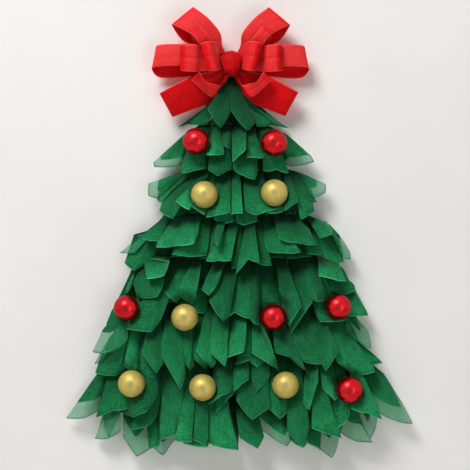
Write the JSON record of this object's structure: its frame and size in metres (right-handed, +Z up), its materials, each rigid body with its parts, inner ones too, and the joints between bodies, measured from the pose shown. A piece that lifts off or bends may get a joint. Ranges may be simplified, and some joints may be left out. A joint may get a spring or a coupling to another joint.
{
  "type": "tree shaped door hanging",
  "caption": "Fir tree shaped door hanging: wire frame dressed in pleated green cloth tiers with wired-on red and gold baubles, a red ribbon bow and a folding wire bail.",
  "frame": {"origin": "where the nail carries the bail: the inside of the top of its arch, in the middle plane of the outline wire", "axes": "+Z up, +Y towards the door, +X to the right as the tree is looked at"},
  "size_m": [0.515, 0.0728, 0.6751],
  "materials": {
    "green_cloth": "open weave, matte",
    "red_ribbon": "satin ribbon",
    "red_ball": "metallised gloss",
    "gold_ball": "satin gold",
    "cap_metal": "bright",
    "green_wire": "green enamel"
  },
  "bodies": {
    "tree": {"outline_wire": "green_wire", "cross_bar_1": "green_wire", "cross_bar_2": "green_wire", "cross_bar_3": "green_wire", "cross_bar_4": "green_wire", "cross_bar_5": "green_wire", "cross_bar_6": "green_wire", "peak_cap": "green_cloth", "tier_1": "green_cloth", "tier_2": "green_cloth", "tier_3": "green_cloth", "tier_4": "green_cloth", "tier_5": "green_cloth", "tier_6": "green_cloth", "tier_7": "green_cloth", "ball_tie_1": "green_wire", "ball_tie_2": "green_wire", "ball_tie_3": "green_wire", "ball_tie_4": "green_wire", "ball_tie_5": "green_wire", "ball_tie_6": "green_wire", "ball_tie_7": "green_wire", "ball_tie_8": "green_wire", "ball_tie_9": "green_wire", "ball_tie_10": "green_wire", "ball_tie_11": "green_wire", "ball_tie_12": "green_wire", "bow_wire": "green_wire", "bow_knot": "red_ribbon", "large_loops_1": "red_ribbon", "large_loops_2": "red_ribbon", "large_loops_3": "red_ribbon", "small_loops_1": "red_ribbon", "small_loops_2": "red_ribbon", "small_loops_3": "red_ribbon"},
    "bail": {"hanging_bail": "green_wire"},
    "bauble_1": {"ball_1": "red_ball", "ball_cap_1": "cap_metal"},
    "bauble_2": {"ball_2": "red_ball", "ball_cap_2": "cap_metal"},
    "bauble_3": {"ball_3": "gold_ball", "ball_cap_3": "cap_metal"},
    "bauble_4": {"ball_4": "gold_ball", "ball_cap_4": "cap_metal"},
    "bauble_5": {"ball_5": "red_ball", "ball_cap_5": "cap_metal"},
    "bauble_6": {"ball_6": "gold_ball", "ball_cap_6": "cap_metal"},
    "bauble_7": {"ball_7": "red_ball", "ball_cap_7": "cap_metal"},
    "bauble_8": {"ball_8": "red_ball", "ball_cap_8": "cap_metal"},
    "bauble_9": {"ball_9": "gold_ball", "ball_cap_9": "cap_metal"},
    "bauble_10": {"ball_10": "gold_ball", "ball_cap_10": "cap_metal"},
    "bauble_11": {"ball_11": "gold_ball", "ball_cap_11": "cap_metal"},
    "bauble_12": {"ball_12": "red_ball", "ball_cap_12": "cap_metal"}
  },
  "joints": [
    {"name": "bail_fold", "type": "hinge", "parent": "tree", "child": "bail", "pos_m": [0, 0, -0.012], "axis": [-1, 0, 0], "range_deg": [0, 85]},
    {"name": "ball_lift_1", "type": "hinge", "parent": "tree", "child": "bauble_1", "pos_m": [-0.0547, -0.02, -0.127], "axis": [-1, 0, 0], "range_deg": [0, 20]},
    {"name": "ball_lift_2", "type": "hinge", "parent": "tree", "child": "bauble_2", "pos_m": [0.06032, -0.02, -0.12954], "axis": [-1, 0, 0], "range_deg": [0, 20]},
    {"name": "ball_lift_3", "type": "hinge", "parent": "tree", "child": "bauble_3", "pos_m": [-0.04222, -0.02, -0.20574], "axis": [-1, 0, 0], "range_deg": [0, 20]},
    {"name": "ball_lift_4", "type": "hinge", "parent": "tree", "child": "bauble_4", "pos_m": [0.06115, -0.02, -0.2032], "axis": [-1, 0, 0], "range_deg": [0, 20]},
    {"name": "ball_lift_5", "type": "hinge", "parent": "tree", "child": "bauble_5", "pos_m": [-0.15746, -0.02, -0.37338], "axis": [-1, 0, 0], "range_deg": [0, 20]},
    {"name": "ball_lift_6", "type": "hinge", "parent": "tree", "child": "bauble_6", "pos_m": [-0.07134, -0.02, -0.3871], "axis": [-1, 0, 0], "range_deg": [0, 20]},
    {"name": "ball_lift_7", "type": "hinge", "parent": "tree", "child": "bauble_7", "pos_m": [0.0597, -0.02, -0.3871], "axis": [-1, 0, 0], "range_deg": [0, 20]},
    {"name": "ball_lift_8", "type": "hinge", "parent": "tree", "child": "bauble_8", "pos_m": [0.15579, -0.02, -0.37186], "axis": [-1, 0, 0], "range_deg": [0, 20]},
    {"name": "ball_lift_9", "type": "hinge", "parent": "tree", "child": "bauble_9", "pos_m": [-0.14997, -0.02, -0.48514], "axis": [-1, 0, 0], "range_deg": [0, 20]},
    {"name": "ball_lift_10", "type": "hinge", "parent": "tree", "child": "bauble_10", "pos_m": [-0.04493, -0.02, -0.49073], "axis": [-1, 0, 0], "range_deg": [0, 20]},
    {"name": "ball_lift_11", "type": "hinge", "parent": "tree", "child": "bauble_11", "pos_m": [0.07779, -0.02, -0.48717], "axis": [-1, 0, 0], "range_deg": [0, 20]},
    {"name": "ball_lift_12", "type": "hinge", "parent": "tree", "child": "bauble_12", "pos_m": [0.17243, -0.02, -0.49428], "axis": [-1, 0, 0], "range_deg": [0, 20]}
  ]
}
